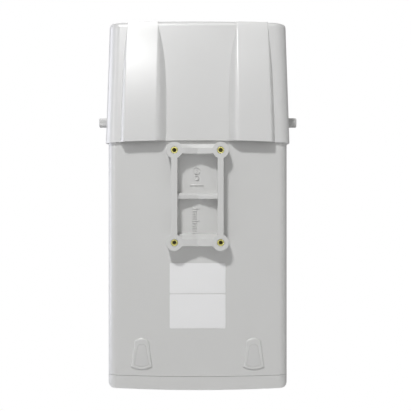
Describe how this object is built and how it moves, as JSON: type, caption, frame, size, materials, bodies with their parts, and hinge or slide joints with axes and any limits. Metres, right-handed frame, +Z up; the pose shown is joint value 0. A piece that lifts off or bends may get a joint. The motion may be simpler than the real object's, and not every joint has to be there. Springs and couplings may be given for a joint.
{
  "type": "outdoor wireless bridge",
  "caption": "Slim outdoor wireless bridge: pale weatherproof case, slide-up connector hood and a standing rear frame for pole or wall mounting.",
  "frame": {"origin": "centre of the four threaded inserts, on the rear frame's mounting face", "axes": "+Z up towards the hood, -Y out of the mounting face, +X to the right seen from behind"},
  "size_m": [0.1352, 0.0497, 0.246],
  "materials": {
    "light_grey_plastic": "fine matte moulded ASA",
    "hood_plastic": "fine satin moulded ASA",
    "brass": "machined, knurled",
    "gold_plate": "gold-plated brass",
    "steel": "zinc-plated steel",
    "seal_rubber": "matte EPDM",
    "cover_rubber": "matte soft inlay",
    "label_film": "matte polyester film",
    "board": "green solder mask on glass epoxy",
    "tinned_steel": "tinned sheet",
    "pad": "silicone gap filler",
    "aluminium": "plain plate",
    "dark_plastic": "moulded nylon",
    "screw_knob": "grey over-moulded head",
    "clear_plastic": "clear acrylic",
    "cable_jacket": "thin coax jacket",
    "lamp": "LED package"
  },
  "bodies": {
    "case": {"antenna_connector_left": "gold_plate", "antenna_connector_right": "gold_plate", "antenna_nuts": "gold_plate", "antenna_washers": "gold_plate", "board_screws": "steel", "case_screws": "steel", "case_seal": "seal_rubber", "coax_left": "cable_jacket", "coax_plugs": "gold_plate", "coax_right": "cable_jacket", "ethernet_jack": "tinned_steel", "frame_inserts": "brass", "front_shell": "light_grey_plastic", "ground_screw": "steel", "ground_washer": "steel", "heat_spreader": "aluminium", "hood_screw_inserts": "brass", "jack_contacts": "gold_plate", "label_lower": "label_film", "label_upper": "label_film", "light_pipe": "clear_plastic", "main_board": "board", "mounting_frame": "light_grey_plastic", "rear_shell": "light_grey_plastic", "reset_switch": "dark_plastic", "rf_shield": "tinned_steel", "screw_covers": "cover_rubber", "status_led": "lamp", "thermal_pad": "pad"},
    "hood_cover": {"hood": "hood_plastic"},
    "left_screw": {"hood_screw_left": "screw_knob"},
    "right_screw": {"hood_screw_right": "screw_knob"},
    "reset": {"reset_button": "dark_plastic"}
  },
  "joints": [
    {"name": "hood_slide", "type": "slide", "parent": "case", "child": "hood_cover", "axis": [0, 0, 1], "range_m": [0, 0.08]},
    {"name": "hood_screw_left_turn", "type": "hinge", "parent": "case", "child": "left_screw", "pos_m": [-0.061, 0.033, 0.0507], "axis": [-1, 0, 0], "continuous": true},
    {"name": "hood_screw_right_turn", "type": "hinge", "parent": "case", "child": "right_screw", "pos_m": [0.061, 0.033, 0.0507], "axis": [1, 0, 0], "continuous": true},
    {"name": "reset_press", "type": "slide", "parent": "case", "child": "reset", "axis": [0, 0, -1], "range_m": [0, 0.0004], "stiffness_N_per_m": 800}
  ]
}
